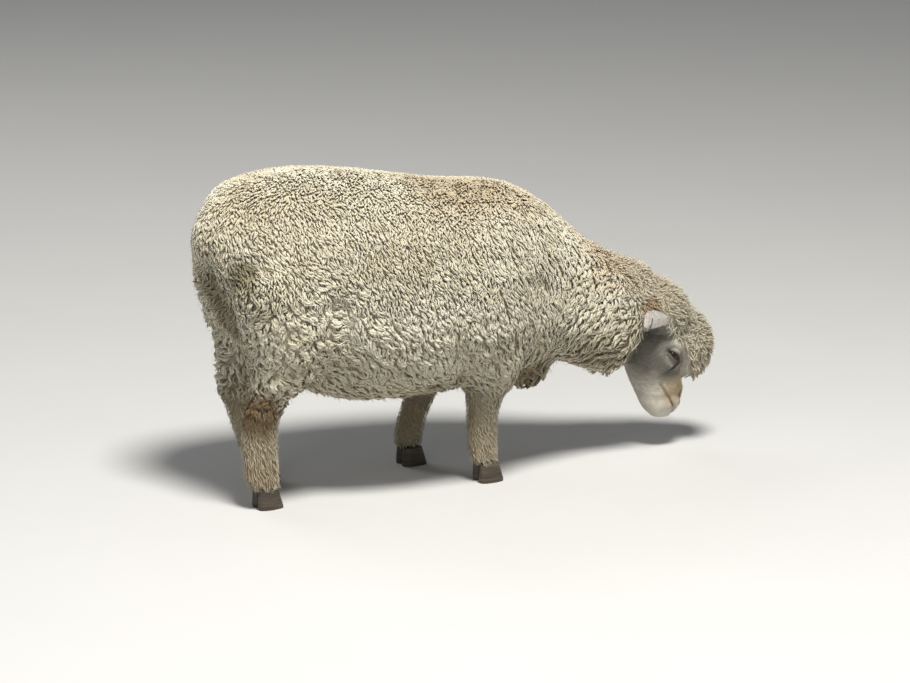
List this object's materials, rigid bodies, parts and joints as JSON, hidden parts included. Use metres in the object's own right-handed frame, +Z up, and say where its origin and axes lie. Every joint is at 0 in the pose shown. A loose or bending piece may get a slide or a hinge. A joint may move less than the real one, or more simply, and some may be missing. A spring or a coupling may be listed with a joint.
{
  "type": "grazing sheep",
  "caption": "Life-size sheep in full white fleece, standing to graze with its neck lowered and its muzzle close to the ground, as a still display animal.",
  "frame": {"origin": "centre of the bounding box in plan, on the ground under the soles", "axes": "+X the way the body faces, from tail to head; +Y to the animal's left; +Z up"},
  "size_m": [1.2158, 0.4802, 0.6939],
  "materials": {
    "fleece": "matt wool in crimped locks",
    "face": "short flat hair",
    "ear": "thin skin with very short hair",
    "eye": "wet gloss",
    "hoof": "dull horn"
  },
  "bodies": {
    "root": {"claw_fore_left_left": "hoof", "claw_fore_left_right": "hoof", "claw_fore_right_left": "hoof", "claw_fore_right_right": "hoof", "claw_hind_left_left": "hoof", "claw_hind_left_right": "hoof", "claw_hind_right_left": "hoof", "claw_hind_right_right": "hoof", "ear_left": "ear", "ear_right": "ear", "eye_left": "eye", "eye_right": "eye", "head": "face", "lower_leg_fore_left": "fleece", "lower_leg_fore_right": "fleece", "lower_leg_hind_left": "fleece", "lower_leg_hind_right": "fleece", "neck": "fleece", "tail": "fleece", "trunk": "fleece", "upper_leg_fore_left": "fleece", "upper_leg_fore_right": "fleece", "upper_leg_hind_left": "fleece", "upper_leg_hind_right": "fleece"}
  },
  "joints": []
}
